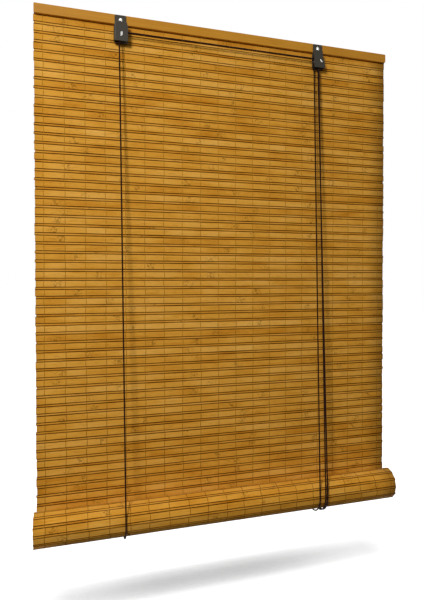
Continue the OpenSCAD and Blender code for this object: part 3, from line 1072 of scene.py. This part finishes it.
@dataclass(frozen=True)
class HungMat:
    """The hanging part of the mat, which gets shorter as the roll rises."""

    weave: Weave
    top: float
    bottom: float
    rows: int
    rail_underside: float
    lift: float
    thread_slide: float = 0.8 * MM
    thread_tail: float = 2.2 * MM
    seam_share: float = 0.45
    thread_light: tuple[float, float] = (1.0, 0.4)
    slat_seed: int = 11
    stick_seed: int = 12
    front_seed: int = 21
    back_seed: int = 22

    def build(self, finish: MatFinish) -> None:
        """Builds slats, sticks and threads.

        Args:
            finish: the mat's materials.
        """
        weave = self.weave
        low = self.top - weave.row * np.arange(1, self.rows + 1)
        slat_middle = low + weave.slat_height / 2
        stick_middle = low + weave.slat_height + weave.gap + weave.stick_height / 2
        up = np.tile([0.0, 1.0], (self.rows, 1))
        front = np.tile([-1.0, 0.0], (self.rows, 1))
        slat_centre = np.stack([np.full(self.rows, weave.middle), slat_middle], axis=1)
        slats = weave.bars(BarKind.SLAT, self.slat_seed).build("hung_slats", slat_centre, up, front)
        self._settle(slats, finish.slat, "wide_slats")
        stick_centre = np.stack([np.full(self.rows, weave.middle), stick_middle], axis=1)
        sticks = weave.bars(BarKind.STICK, self.stick_seed).build("hung_sticks", stick_centre, up, front)
        self._settle(sticks, finish.stick, "narrow_sticks")
        front_binding = self._binding("front_binding", low, Side.FRONT, self.front_seed)
        self._settle(front_binding, finish.thread, "front_threads")
        back_binding = self._binding("back_binding", low, Side.BACK, self.back_seed)
        self._settle(back_binding, finish.thread, "back_threads")

    def _binding(self, name: str, low: np.ndarray, side: Side, seed: int) -> Piece:
        """Lays one face's threads over the bars.

        A thread lies flat on each slat from shoulder to shoulder, sinks into the groove on both sides of
        each stick, and is shifted a little on every slat.

        Args:
            name: the new object's name.
            low: Z of the slats' lower edges.
            side: the face that they lie on.
            seed: seed of the random shifts.

        Returns:
            The new object.
        """
        weave = self.weave
        rng = np.random.default_rng(seed)
        seam_low = low - weave.gap / 2
        seam_high = low + weave.slat_height + weave.gap / 2
        stick = seam_high + (weave.stick_height + weave.gap) / 2
        shoulders = [seam_high - weave.shoulder, seam_low + weave.shoulder]
        z = np.stack([stick, seam_high, *shoulders, seam_low], axis=1)
        face = weave.thickness / 2 + weave.thread_lift
        sunk = np.array([1.0, self.seam_share, 1.0, 1.0, self.seam_share]) * face
        slide = rng.uniform(-self.thread_slide, self.thread_slide, (weave.thread_lines, self.rows))
        shift = slide[:, :, None] * SLIDE_SHARE
        spine = np.empty((weave.thread_lines, z.size, 3))
        spine[..., 0] = weave.thread_places[:, None] + shift.reshape(weave.thread_lines, -1)
        spine[..., 1] = weave.middle + side.value * np.tile(sunk, self.rows)
        spine[..., 2] = z.ravel()
        spine = np.concatenate([spine[:, :1] + self.thread_tail * np.array(UPWARD), spine], axis=1)
        rings = spine.shape[1]
        out = side.value * np.tile(INWARD, (rings, 1))
        across = -side.value * np.tile(SIDEWAYS, (rings, 1))
        light = np.linspace(*self.thread_light, rings)
        return threads(name, spine, across, out, weave.thread_section(), light)

    def _settle(self, piece: Piece, finish: Material, node: str) -> None:
        """Dresses a piece, hangs it on the rail and gives it a mesh of its own.

        Args:
            piece: the slats, sticks or threads.
            finish: their material.
            node: the node that they replace.
        """
        dress(piece, finish)
        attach(piece, "headrail")
        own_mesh(piece)
        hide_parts(node)


@dataclass(frozen=True)
class WoundRoll:
    """The wound part of the mat: the rows go on along a spiral that narrows by one pitch each turn."""

    weave: Weave
    axis_y: float
    axis_z: float
    radius: float
    bar_radius: float
    turn_gap: float = 0.12 * MM
    askew: float = -3.2 * MM
    thread_slide: float = 1.7 * MM
    seam_depth: float = 0.35 * MM
    bound_turns: float = 1.15
    thread_light: float = 0.3
    slat_seed: int = 31
    stick_seed: int = 32
    thread_seed: int = 33

    def _sag(self, radius: float) -> float:
        """How far a flat slat's middle lies inside the circle through its corners."""
        return self.weave.slat_height**2 / (8 * radius)

    @property
    def core(self) -> float:
        """Radius at which the innermost slats lie on the bar."""
        bare = self.bar_radius + self.weave.thickness
        return bare + self.turn_gap + self._sag(bare)

    @property
    def pitch(self) -> float:
        """How far the spiral narrows in each turn."""
        return self.weave.thickness + self._sag(self.core) + self.turn_gap

    def reach(self, angle: np.ndarray | float) -> np.ndarray | float:
        """Radius of the wound mat's outer face at an angle from the back downwards."""
        return self.radius - self.pitch * angle / FULL_TURN

    def row_angles(self) -> np.ndarray:
        """Steps along the spiral row by row, each width taken as a chord of the turn it lies on.

        Returns:
            Angles where the stick starts and ends and the slat starts and ends, (rows, 4).
        """
        weave = self.weave
        rows = []
        angle = 0.0
        while True:
            steps = [angle]
            for width in (weave.stick_height, weave.gap, weave.slat_height, weave.gap):
                steps.append(steps[-1] + 2 * math.asin(width / (2 * self.reach(steps[-1]))))
            if self.reach(steps[-1]) <= self.core:
                return np.array(rows)
            rows.append(steps[:4])
            angle = steps[-1]

    def point(self, angle: np.ndarray) -> np.ndarray:
        """Y and Z on the outer face: the reach times the cosine and minus the sine of the angle."""
        ray = np.stack([np.cos(angle), -np.sin(angle)], axis=-1)
        return np.array([self.axis_y, self.axis_z]) + self.reach(angle)[..., None] * ray

    def _seats(self, start: np.ndarray, stop: np.ndarray) -> tuple[np.ndarray, np.ndarray, np.ndarray]:
        """Lays bars on chords of the spiral.

        Args:
            start: angles at which the bars start.
            stop: angles at which they end.

        Returns:
            The bars' centres and the directions of their heights and fronts, each (bars, 2).
        """
        first = self.point(start)
        second = self.point(stop)
        up = first - second
        up = up / np.linalg.norm(up, axis=1, keepdims=True)
        front = np.stack([-up[:, 1], up[:, 0]], axis=1)
        return (first + second) / 2 + front * self.weave.thickness / 2, up, front

    def build(self, finish: MatFinish) -> None:
        """Builds the wound slats, sticks and threads.

        Args:
            finish: the mat's materials.
        """
        rows = self.row_angles()
        slat_bars = self.weave.bars(BarKind.SLAT, self.slat_seed, self.askew)
        slats = slat_bars.build("wound_slats", *self._seats(rows[:, 2], rows[:, 3]))
        stick_bars = self.weave.bars(BarKind.STICK, self.stick_seed, self.askew)
        sticks = stick_bars.build("wound_sticks", *self._seats(rows[:, 0], rows[:, 1]))
        for piece, material, slot in (
            (slats, finish.slat, "slat_bamboo"),
            (sticks, finish.stick, "stick_bamboo"),
            (self._binding(rows), finish.thread, "binding_thread"),
        ):
            dress(piece, material)
            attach(piece, "roll")
            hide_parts("mat_roll")

    def _binding(self, rows: np.ndarray) -> Piece:
        """Lays the threads over the outer face of the outermost turns, sunk in beside each stick.

        Args:
            rows: the rows' angles.

        Returns:
            The new object.
        """
        weave = self.weave
        rng = np.random.default_rng(self.thread_seed)
        outer = rows[rows[:, 3] < self.bound_turns * FULL_TURN]
        stick_start, stick_end, slat_start, slat_end = outer.T
        half_gap = (slat_start - stick_end) / 2
        shoulder = weave.shoulder / self.radius
        shoulders = [slat_start + shoulder, slat_end - shoulder]
        middle = (stick_start + stick_end) / 2
        angle = np.stack([middle, stick_end + half_gap, *shoulders, slat_end + half_gap], axis=1).ravel()
        lift = np.tile([weave.thread_lift, -self.seam_depth, 0.0, 0.0, -self.seam_depth], len(outer))
        ray = np.stack([np.cos(angle), -np.sin(angle)], axis=1)
        place = np.array([self.axis_y, self.axis_z]) + (self.reach(angle) + lift)[:, None] * ray
        slide = rng.uniform(-self.thread_slide, self.thread_slide, (weave.thread_lines, len(outer)))
        shift = slide[:, :, None] * SLIDE_SHARE
        spine = np.empty((weave.thread_lines, len(angle), 3))
        spine[..., 0] = weave.thread_places[:, None] + shift.reshape(weave.thread_lines, -1)
        spine[..., 1:] = place
        out = np.concatenate([np.zeros((len(angle), 1)), ray], axis=1)
        across = -np.tile(SIDEWAYS, (len(angle), 1))
        light = np.full(len(angle), self.thread_light)
        return threads("wound_binding", spine, across, out, weave.thread_section(), light)


@dataclass(frozen=True)
class Braid:
    """A round braided cord: strands cross in a diamond pattern round it."""

    radius: float
    depth: float = 0.06
    strands: int = 3
    period: float = 3.6 * MM
    step: float = 0.9 * MM
    sides: int = 12

    def resample(self, path: np.ndarray) -> tuple[np.ndarray, np.ndarray]:
        """Spaces points evenly along a path.

        Args:
            path: corner points close together on the curve, (n, 3).

        Returns:
            The points and the distance of each along the path.
        """
        lengths = np.linalg.norm(np.diff(path, axis=0), axis=1)
        distance = np.concatenate([[0.0], np.cumsum(lengths)])
        count = max(2, int(round(distance[-1] / self.step)) + 1)
        even = np.linspace(0, distance[-1], count)
        points = np.stack([np.interp(even, distance, path[:, axis]) for axis in range(3)], axis=1)
        return points, even

    def tubes(self, name: str, paths: list[np.ndarray], side: Point, closed: bool = False) -> Piece:
        """Carries the braid along paths of equal make.

        The radius at an angle and a distance along the cord is the full one less a share that grows
        where the cosine of three times the angle times the cosine of the distance is low.

        Args:
            name: the new object's name.
            paths: the cords' middles, each (n, 3).
            side: a direction that no path runs along.
            closed: whether each path is a loop.

        Returns:
            The new object, with the field lay, 1 on top of a strand and 0 in the valleys, which the finish
            darkens as painted shade.
        """
        sampled = [self.resample(path) for path in paths]
        count = min(len(points) for points, _ in sampled)
        rings = []
        lays = []
        angle = np.linspace(0, FULL_TURN, self.sides, endpoint=False)
        for points, distance in sampled:
            pick = np.linspace(0, len(points) - 1, count).round().astype(int)
            points, distance = points[pick], distance[pick]
            if closed:
                points, distance = points[:-1], distance[:-1]
                around = np.roll(points, -1, axis=0) - np.roll(points, 1, axis=0)
            else:
                around = np.gradient(points, axis=0)
            tangent = around / np.linalg.norm(around, axis=1, keepdims=True)
            normal = np.cross(np.array(side), tangent)
            normal = normal / np.linalg.norm(normal, axis=1, keepdims=True)
            third = np.cross(tangent, normal)
            wave = np.cos(FULL_TURN * distance / self.period)[:, None] * np.cos(self.strands * angle)
            # Lay shapes the strands and also sets the painted shade in the valleys between them.
            lay = 0.5 + 0.5 * wave
            reach = self.radius * (1 - self.depth * (1 - lay))
            ray = np.cos(angle)[:, None] * normal[:, None, :] + np.sin(angle)[:, None] * third[:, None, :]
            rings.append(points[:, None, :] + reach[..., None] * ray)
            lays.append(lay)
        return skin(name, np.stack(rings), {"lay": np.stack(lays)}, closed)


@dataclass(frozen=True)
class CordSet:
    """The lift cords and pull cords: back runs, slings, front runs, the cross run and the knots."""

    braid: Braid
    axis_y: float
    axis_z: float
    sling_radius: float
    axle_z: float
    bend: float
    front_y: float
    back_y: float
    left_roller: float
    right_roller: float
    rail_top: float
    rail_underside: float
    cage_underside: float
    lift: float
    anchor_y: float
    left_anchor: float = -160.5 * MM
    right_anchor: float = 148.9 * MM
    pull_anchors: tuple[float, float] = (154.7 * MM, 160.5 * MM)
    left_lean: float = 3 * MM
    right_lean: float = -8 * MM
    pull_lean: float = -3 * MM
    pull_step: float = 3.6 * MM
    lead_in: float = 22 * MM
    joint_gap: float = 0.1 * MM
    knot_size: float = 0.45 * MM
    knot_rise: float = 2.0 * MM
    sling_steps: int = 97
    turn_steps: int = 33
    knot_steps: int = 121

    def touch(self, start: tuple[float, float], side: Side) -> tuple[np.ndarray, float]:
        """Finds where a straight run from a point meets the sling's circle.

        The run leaves the point at the bearing of the roll's axis, turned by the arc sine of the
        circle's radius over the distance.

        Args:
            start: Y and Z of the point.
            side: the side of the roll that the run comes down on.

        Returns:
            Y and Z of the touching point, and its angle on the circle.
        """
        offset = np.array([self.axis_y - start[0], self.axis_z - start[1]])
        bearing = math.atan2(offset[1], offset[0])
        lean = math.asin(self.sling_radius / np.linalg.norm(offset))
        angle = bearing + side.value * (lean + math.pi / 2)
        ray = np.array([math.cos(angle), math.sin(angle)])
        return np.array([self.axis_y, self.axis_z]) + self.sling_radius * ray, angle

    def run(self, start: tuple[float, float], top_x: float, low_x: float, side: Side) -> np.ndarray:
        """The straight path from a point down to the roll."""
        low, _ = self.touch(start, side)
        return np.array([[top_x, start[0], start[1]], [low_x, low[0], low[1]]])

    def lengths(self, path: np.ndarray) -> list[np.ndarray]:
        """Cuts a straight front run in three: in the bracket, free, and close to the roll.

        Args:
            path: the run's upper and lower end, (2, 3).

        Returns:
            The upper, middle and lower length, each (2, 3).
        """
        top, low = path
        below_cage = self.cage_underside - self.braid.radius
        above_roll = self.axis_z + self.lead_in
        spans = (
            (top[2], below_cage),
            (below_cage - self.joint_gap, above_roll + self.joint_gap),
            (above_roll, low[2]),
        )
        slope = (low - top) / (low[2] - top[2])
        return [np.array([top + slope * (height - top[2]) for height in span]) for span in spans]

    def sling(self, start: tuple[float, float], x: float) -> np.ndarray:
        """Leads a cord under the roll, from where the front run meets it to where the back run leaves.

        A point lies at the roll's axis plus the sling's radius times the cosine and sine of its angle.

        Args:
            start: Y and Z of the front run's upper end.
            x: where along the roll the sling lies.

        Returns:
            The path, (n, 3).
        """
        _, first = self.touch(start, Side.FRONT)
        _, last = self.touch((self.anchor_y, self.rail_top), Side.BACK)
        angle = np.linspace(first, last, self.sling_steps)
        return np.stack(
            [
                np.full_like(angle, x),
                self.axis_y + self.sling_radius * np.cos(angle),
                self.axis_z + self.sling_radius * np.sin(angle),
            ],
            axis=1,
        )

    def turn(self, x: float, y: float, first: float, last: float) -> np.ndarray:
        """Leads a cord over a roller: the axle plus the bend's radius times the angle's cosine and sine.

        Args:
            x: X of the roller's axle.
            y: Y of the cord.
            first: angle at the start, in degrees from +X upwards.
            last: angle at the end.

        Returns:
            The path, (n, 3).
        """
        angle = np.radians(np.linspace(first, last, self.turn_steps))
        along = x + self.bend * np.cos(angle)
        height = self.axle_z + self.bend * np.sin(angle)
        return np.stack([along, np.full_like(angle, y), height], axis=1)

    def knot(self, x: float) -> np.ndarray:
        """Ties an overhand knot about the cord's end, as a trefoil curve.

        In units of the knot's size, X is the sine of the angle plus twice that of the double angle, Y the
        cosine less twice that of the double angle, and Z minus twice the sine of the triple angle.

        Args:
            x: X of the cord's end.

        Returns:
            The path, (n, 3).
        """
        angle = np.linspace(0, FULL_TURN, self.knot_steps)
        size = self.knot_size
        middle = self.rail_top + self.knot_rise
        return np.stack(
            [
                x + size * (np.sin(angle) + 2 * np.sin(2 * angle)),
                self.anchor_y + size * (np.cos(angle) - 2 * np.cos(2 * angle)),
                middle - 2 * size * np.sin(3 * angle),
            ],
            axis=1,
        )

    def build(self, finish: Material) -> None:
        """Builds every length of cord and hangs it on the body that it moves with.

        Args:
            finish: the cords' material.
        """
        anchor = (self.anchor_y, self.rail_top)
        front = (self.front_y, self.axle_z)
        back = (self.back_y, self.axle_z)
        left_x = self.left_roller - self.bend
        right_x = self.right_roller - self.bend
        pull_x = self.right_roller + self.bend
        left_low = left_x + self.left_lean
        right_low = right_x + self.right_lean
        pull_low = [pull_x + self.pull_lean + half * self.pull_step for half in (-0.5, 0.5)]
        pulls = list(zip((front, back), pull_low))
        back_runs = {
            "left_back_cord": [self.run(anchor, self.left_anchor, left_low, Side.BACK)],
            "right_back_cord": [self.run(anchor, self.right_anchor, right_low, Side.BACK)],
            "pull_back_cords": [
                self.run(anchor, x, low, Side.BACK) for x, low in zip(self.pull_anchors, pull_low)
            ],
        }
        for node, paths in back_runs.items():
            piece = self._lay(f"braided_{node}", paths, SIDEWAYS, finish, "headrail", node)
            self._shorten(piece)
        front_runs = {
            "left_front_cord": [self.run(front, left_x, left_low, Side.FRONT)],
            "right_front_cord": [self.run(back, right_x, right_low, Side.FRONT)],
            "pull_front_cords": [self.run(start, pull_x, low, Side.FRONT) for start, low in pulls],
        }
        for node, paths in front_runs.items():
            upper, middle, lower = zip(*(self.lengths(path) for path in paths))
            self._lay(f"braided_{node}_upper", list(upper), SIDEWAYS, finish, "headrail", node)
            free = self._lay(f"braided_{node}_middle", list(middle), SIDEWAYS, finish, "headrail", node)
            self._shorten(free)
            self._lay(f"braided_{node}_lower", list(lower), SIDEWAYS, finish, "slings", node)
        slings = {
            "left_sling": [self.sling(front, left_low)],
            "right_sling": [self.sling(back, right_low)],
            "pull_slings": [self.sling(start, low) for start, low in pulls],
        }
        for node, paths in slings.items():
            self._lay(f"braided_{node}", paths, SIDEWAYS, finish, "slings", node)
        over_left = self.turn(self.left_roller, self.front_y, 180, 90)
        over_right = self.turn(self.right_roller, self.front_y, 90, 0)
        turns = {
            "cross_cord": [np.concatenate([over_left, over_right])],
            "right_turn_cord": [self.turn(self.right_roller, self.back_y, 180, 0)],
        }
        for node, paths in turns.items():
            self._lay(f"braided_{node}", paths, INWARD, finish, "headrail", node)
        ends = [self.knot(x) for x in (self.left_anchor, self.right_anchor, *self.pull_anchors)]
        self._lay("tied_cord_knots", ends, UPWARD, finish, "headrail", "cord_knots", closed=True)

    def _shorten(self, piece: Piece) -> None:
        """Gives a run between two heights a mesh of its own."""
        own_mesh(piece)

    def _lay(
        self,
        name: str,
        paths: list[np.ndarray],
        side: Point,
        finish: Material,
        body: str,
        node: str,
        closed: bool = False,
    ) -> Piece:
        """Braids cords along their paths, dresses them and puts them in their node's place.

        Args:
            name: the new object's name.
            paths: the cords' middles, each (n, 3).
            side: a direction that no path runs along.
            finish: the cords' material.
            body: the body that they ride on.
            node: the node that they replace.
            closed: whether each path is a loop.

        Returns:
            The new object.
        """
        piece = self.braid.tubes(name, paths, side, closed)
        dress(piece, finish)
        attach(piece, body)
        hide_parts(node)
        return piece


@dataclass(frozen=True)
class Lamp:
    """A soft rectangular lamp that faces a point, with its power in watts."""

    name: str
    place: Point
    aim: Point
    width: float
    height: float
    power: float

    def hang(self) -> None:
        """Puts the lamp into the scene."""
        data = bpy.data.lights.new(self.name, "AREA")
        data.shape = "RECTANGLE"
        data.size = self.width
        data.size_y = self.height
        data.energy = self.power
        lamp = bpy.data.objects.new(self.name, data)
        lamp.location = self.place
        lamp.rotation_euler = (Vector(self.aim) - Vector(self.place)).to_track_quat("-Z", "Y").to_euler()
        bpy.context.scene.collection.objects.link(lamp)


@dataclass(frozen=True)
class Studio:
    """Camera, lamps, world and floor."""

    eye: Point = (-253.5 * MM, -912.5 * MM, -400.9 * MM)
    yaw: float = 19.017
    pitch: float = -1.021
    focal_px: float = 559.13
    centre_px: tuple[float, float] = (45.0, -12.21)
    image_height: float = 600.0
    sensor: float = 36.0
    room_light: float = 0.38
    lamps: tuple[Lamp, ...] = (
        Lamp("key_lamp", (-0.75, -1.30, 0.22), (0.0, 0.0, -0.36), 0.28, 0.28, 15.0),
        Lamp("top_lamp", (0.0, -0.045, 1.00), (0.0, -0.045, -0.8), 0.8, 0.08, 2.5),
        Lamp("back_lamp", (0.5, 1.50, 0.30), (0.0, 0.0, -0.36), 0.60, 0.60, 11.0),
    )
    floor_z: float = -0.885
    floor_size: float = 12.0
    floor_tone: Colour = srgb(192, 192, 192)
    bounce_tone: Colour = srgb(30, 29, 27)
    shade_samples: int = 32
    shade_reach: float = 0.102
    shade_middle: float = -0.03
    shade_fade: tuple[float, float] = (0.06, 0.28)
    shade_at_ends: float = 0.65
    shade_full: float = 0.82

    def build(self) -> None:
        """Sets up the picture."""
        bpy.context.scene.view_settings.view_transform = "Standard"
        self._camera()
        self._world()
        self._floor()
        for lamp in self.lamps:
            lamp.hang()

    def _camera(self) -> None:
        """Places the camera. The lens comes from the focal length in pixels of the image's height."""
        data = bpy.data.cameras.new("photo_camera")
        data.sensor_fit = "VERTICAL"
        data.sensor_height = self.sensor
        data.lens = self.focal_px * self.sensor / self.image_height
        data.shift_x = -self.centre_px[0] / self.image_height
        data.shift_y = self.centre_px[1] / self.image_height
        data.clip_start = 0.01
        data.clip_end = 100.0
        camera = bpy.data.objects.new("photo_camera", data)
        camera.location = self.eye
        camera.rotation_euler = (math.radians(90 + self.pitch), 0.0, -math.radians(self.yaw))
        bpy.context.scene.collection.objects.link(camera)
        bpy.context.scene.camera = camera

    @staticmethod
    def _seen(graph: Graph) -> Socket:
        """Tells rays that show the background itself, straight or in gloss or glass, from the others.

        Args:
            graph: the graph of the world or the floor.

        Returns:
            1 for such rays and 0 for the others.
        """
        path = graph.node("ShaderNodeLightPath").outputs
        seen = graph.math("MAXIMUM", path["Is Camera Ray"], path["Is Glossy Ray"])
        return graph.math("MAXIMUM", seen, path["Is Transmission Ray"])

    def _world(self) -> None:
        """A white ground for the eye and a plain soft light for everything else."""
        world = bpy.data.worlds.new("soft_room")
        world.use_nodes = True
        graph = Graph(world.node_tree)
        background = world.node_tree.nodes["Background"]
        strength = graph.span(self._seen(graph), 0.0, 1.0, self.room_light, 1.0)
        graph.feed(background.inputs["Color"], WHITE)
        graph.feed(background.inputs["Strength"], strength)
        bpy.context.scene.world = world

    def _floor(self) -> None:
        """A pale floor that glows white, except close under the blind, where the glow is dimmed.

        The dimming is a painted shadow, set by how much of the sky the blind hides, over the shadow that
        the lamps cast, and it gets weaker towards the ends of the roll. The floor sends little light up, so
        that the underside of the roll stays dark.
        """
        half = self.floor_size / 2
        mesh = bpy.data.meshes.new("floor")
        corners = [(-half, -half), (half, -half), (half, half), (-half, half)]
        mesh.from_pydata([(x, y, self.floor_z) for x, y in corners], [], [(0, 1, 2, 3)])
        floor = bpy.data.objects.new("floor", mesh)
        bpy.context.scene.collection.objects.link(floor)
        material, graph, shader = new_material("pale_floor")
        seen = self._seen(graph)
        graph.feed(shader.inputs["Base Color"], graph.mix(seen, self.bounce_tone, self.floor_tone))
        shader.inputs["Roughness"].default_value = 1.0
        shader.inputs["Specular IOR Level"].default_value = 0.0
        shader.inputs["Emission Color"].default_value = WHITE
        # Painted shadow: the glow is cut where ambient occlusion finds the blind close above, and the cut
        # fades towards the roll's ends.
        nearby = graph.node("ShaderNodeAmbientOcclusion", samples=self.shade_samples)
        nearby.inputs["Distance"].default_value = self.shade_reach
        shade = graph.span(nearby.outputs["AO"], self.shade_full, 1.0, 1.0, 0.0)
        x = graph.split(graph.place())[0]
        aside = graph.math("ABSOLUTE", graph.math("SUBTRACT", x, self.shade_middle))
        fade = graph.span(aside, *self.shade_fade, 1.0, self.shade_at_ends)
        glow = graph.math("SUBTRACT", 1.0, graph.math("MULTIPLY", shade, fade))
        graph.feed(shader.inputs["Emission Strength"], graph.math("MULTIPLY", seen, glow))
        dress(floor, material)


@dataclass(frozen=True)
class Hardware:
    """The rail, the bar and the metal pieces, which keep their own solids and get their finishes."""

    nodes: dict[str, Piece]
    effects: Effects
    bar_axis: Vector

    def dress(self) -> None:
        """Gives every rigid piece its finish."""
        rail = RailFinish("rail_bamboo", srgb(198, 138, 34), srgb(182, 121, 16), srgb(120, 70, 6), 0.6 * MM)
        header = RailFinish(
            "header_bamboo", srgb(206, 158, 78), srgb(176, 126, 50), srgb(120, 76, 24), 0.3 * MM
        )
        bar = BarFinish("bar_wood", srgb(206, 168, 112), srgb(158, 112, 60), 1.6 * MM)
        black = MetalFinish("bracket_steel", Metal.BLACKENED, 0.25 * MM).material(self.effects)
        nickel = MetalFinish("nickel", Metal.NICKEL, 0.2 * MM).material(self.effects)
        zinc = MetalFinish("roller_steel", Metal.ZINC, 0.2 * MM).material(self.effects)
        wire = MetalFinish("nail_steel", Metal.WIRE, 0.1 * MM).material(self.effects)
        rail_material = rail.material(self.effects)
        finishes = {
            "front_batten": rail_material,
            "back_batten": rail_material,
            "header_slat": header.material(self.effects),
            "bottom_bar": bar.material(self.effects, self.bar_axis),
            "left_bracket": black,
            "right_bracket": black,
            "right_axle": black,
            "wall_screws": nickel,
            "left_axle": nickel,
            "lock_axle": nickel,
            "left_guide_roller": zinc,
            "right_guide_roller": zinc,
            "lock_roller": zinc,
            "rail_nails": wire,
        }
        for node, material in finishes.items():
            dress(self.nodes[node], material)
            LOG.info("%s: dressed as %s", node, material.name)


def main() -> None:
    """Loads the frame, builds each sub-assembly in order and sets up the picture."""
    logging.basicConfig(level=logging.INFO, format="%(name)s %(message)s")
    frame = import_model()
    joints = {joint["name"]: joint for joint in frame["record"]["behaviour"]["joints"]}
    lift = joints["roll_lift"]["range_m"][1]
    roll_axis = Vector(joints["roll_turn"]["pos_m"])
    left_axle = Vector(joints["left_guide_turn"]["pos_m"])
    right_axle = Vector(joints["right_guide_turn"]["pos_m"])
    slat_low, slat_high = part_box("wide_slats")
    stick_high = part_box("narrow_sticks")[1]
    rail_low, rail_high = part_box("back_batten")
    sling_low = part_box("left_sling")[0]
    turn_low, turn_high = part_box("right_turn_cord")
    cross_low, cross_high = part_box("cross_cord")
    bar_low, bar_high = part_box("bottom_bar")

    studio = Studio()
    studio.build()

    effects = Effects()
    weave = Weave(left=slat_low.x, right=slat_high.x, back=slat_high.y)
    block = {"block_pitch": weave.thread_step, "block_start": weave.left + weave.thread_inset}
    # This dark brown colours the pores and node marks, and is also the painted shade in the grooves between
    # the bars.
    stain_and_groove_shade = srgb(62, 26, 0)
    slat_finish = BambooFinish(
        "slat_bamboo", srgb(238, 180, 86), srgb(222, 158, 56), srgb(193, 122, 24), stain_and_groove_shade, 0.5, **block
    ).material(effects)
    stick_finish = BambooFinish(
        "stick_bamboo", srgb(235, 174, 80), srgb(217, 151, 50), srgb(186, 114, 20), stain_and_groove_shade, 0.4, **block
    ).material(effects)
    thread_finish = YarnFinish(
        "binding_thread", srgb(196, 138, 36), srgb(104, 56, 4), 0.8, 2600.0, 0.05 * MM
    ).material()
    mat_finish = MatFinish(slat_finish, stick_finish, thread_finish)
    cord_finish = YarnFinish("cord", srgb(44, 11, 1), srgb(14, 3, 0), 0.7, 1900.0, 0.06 * MM).material()

    row_top = stick_high.z + weave.gap
    rows = round((row_top - slat_low.z) / weave.row)
    HungMat(weave, row_top, roll_axis.z, rows, rail_low.z, lift).build(mat_finish)
    roll_radius = weave.back - roll_axis.y
    bar_radius = (bar_high.z - bar_low.z) / 2
    WoundRoll(weave, roll_axis.y, roll_axis.z, roll_radius, bar_radius).build(mat_finish)
    cord_radius = (cross_high.y - cross_low.y) / 2
    CordSet(
        Braid(cord_radius),
        axis_y=roll_axis.y,
        axis_z=roll_axis.z,
        sling_radius=roll_axis.z - sling_low.z - cord_radius,
        axle_z=left_axle.z,
        bend=(turn_high.x - turn_low.x) / 2 - cord_radius,
        front_y=(cross_low.y + cross_high.y) / 2,
        back_y=(turn_low.y + turn_high.y) / 2,
        left_roller=left_axle.x,
        right_roller=right_axle.x,
        rail_top=rail_high.z,
        rail_underside=rail_low.z,
        cage_underside=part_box("left_bracket")[0].z,
        lift=lift,
        anchor_y=(rail_low.y + rail_high.y) / 2,
    ).build(cord_finish)
    Hardware(frame["nodes"], effects, roll_axis).dress()


if __name__ == "__main__":
    main()
